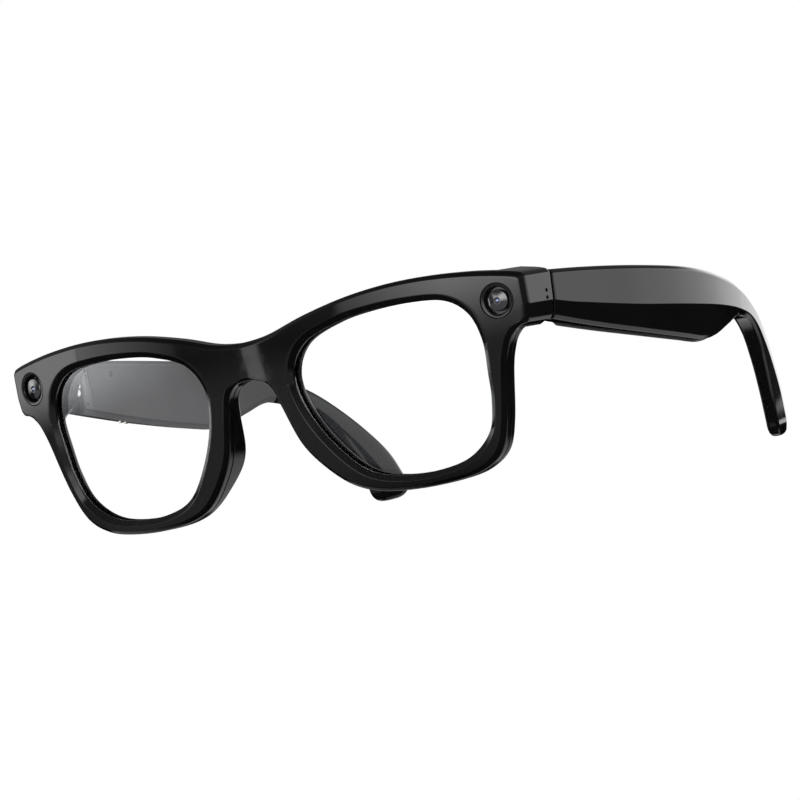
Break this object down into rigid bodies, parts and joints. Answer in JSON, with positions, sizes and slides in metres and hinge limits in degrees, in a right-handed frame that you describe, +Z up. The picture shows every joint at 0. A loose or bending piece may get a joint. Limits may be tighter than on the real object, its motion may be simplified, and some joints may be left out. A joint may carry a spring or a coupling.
{
  "type": "smart glasses",
  "caption": "Camera smart glasses: two-shell front with clear lenses and a camera in each endpiece, and folding temples that hold the electronics.",
  "frame": {"origin": "under the middle of the open glasses' bounding box, on the surface that the rims and ear tips stand on", "axes": "+X to the wearer's left, -Y the way the wearer looks, +Z up"},
  "size_m": [0.1522, 0.1304, 0.0458],
  "materials": {
    "bezel": "deep black ring",
    "board": "solder mask",
    "button": "semi-gloss black",
    "camera_body": "moulded lens barrel",
    "camera_glass": "dark domed window",
    "can_metal": "pressed can",
    "cell_foil": "foil pouch",
    "clear_lens": "clear, anti-reflection coated",
    "contact_metal": "plated, bright",
    "gloss_shell": "polished black",
    "hinge_steel": "satin",
    "light_pipe": "milky",
    "ribbon": "polyimide",
    "satin_cover": "fine satin black"
  },
  "bodies": {
    "front": {"camera_bezel_left": "bezel", "camera_bezel_right": "bezel", "camera_module_left": "camera_body", "camera_module_right": "camera_body", "camera_window_left": "camera_glass", "camera_window_right": "camera_glass", "front_flex_cable": "ribbon", "front_frame": "gloss_shell", "front_hinge_leaf_left": "hinge_steel", "front_hinge_leaf_right": "hinge_steel", "hinge_pin_left": "hinge_steel", "hinge_pin_right": "hinge_steel", "lens_left": "clear_lens", "lens_right": "clear_lens", "microphone_left": "can_metal", "microphone_right": "can_metal", "rear_frame": "gloss_shell"},
    "left_temple": {"battery_left": "cell_foil", "circuit_board_left": "board", "hinge_screw_left": "hinge_steel", "speaker_left": "can_metal", "temple_cover_left": "satin_cover", "temple_hinge_leaf_left": "hinge_steel", "temple_shell_left": "gloss_shell", "touch_sensor_left": "ribbon"},
    "right_temple": {"battery_right": "cell_foil", "charging_contact_1": "contact_metal", "charging_contact_2": "contact_metal", "circuit_board_right": "board", "hinge_screw_right": "hinge_steel", "speaker_right": "can_metal", "status_light_right": "light_pipe", "temple_cover_right": "satin_cover", "temple_hinge_leaf_right": "hinge_steel", "temple_shell_right": "gloss_shell"},
    "capture_button": {"capture_button_right": "button"}
  },
  "joints": [
    {"name": "left_temple_fold", "type": "hinge", "parent": "front", "child": "left_temple", "pos_m": [0.0668, -0.04572, 0.02135], "axis": [0, 0.0541, 0.9985], "range_deg": [0, 85]},
    {"name": "right_temple_fold", "type": "hinge", "parent": "front", "child": "right_temple", "pos_m": [-0.0668, -0.04572, 0.02135], "axis": [0, -0.0541, -0.9985], "range_deg": [0, 77]},
    {"name": "capture_button_press", "type": "slide", "parent": "right_temple", "child": "capture_button", "axis": [0, -0.0541, -0.9985], "range_m": [0, 0.0004], "stiffness_N_per_m": 400}
  ]
}
